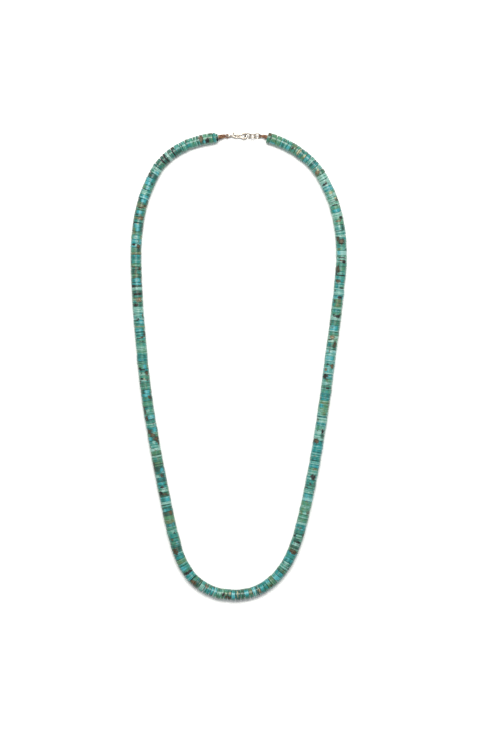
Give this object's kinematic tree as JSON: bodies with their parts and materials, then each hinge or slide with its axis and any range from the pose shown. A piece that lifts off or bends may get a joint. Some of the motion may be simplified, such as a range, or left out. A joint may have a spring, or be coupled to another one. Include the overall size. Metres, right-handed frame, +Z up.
{
  "type": "beaded necklace",
  "caption": "Closed strand necklace of flat round stone discs, with bound cord ends, a bent wire hook and linked wire rings, lying flat.",
  "frame": {"origin": "on the surface that the necklace lies on, under the middle of its outline", "axes": "+Z up from the surface, +Y from the front of the necklace towards the clasp, +X to the side where the rings are"},
  "size_m": [0.1222, 0.2641, 0.006],
  "materials": {
    "stone": "ground turquoise with brown matrix, waxed to a soft polish",
    "cord": "waxed brown cord, bound in close turns",
    "silver": "polished silver wire"
  },
  "bodies": {
    "root": {"bead_string_left": "stone", "bead_string_right": "stone", "cord_loop_left": "cord", "cord_loop_right": "cord", "hook": "silver", "ring_1": "silver", "ring_2": "silver", "ring_3": "silver"}
  },
  "joints": []
}
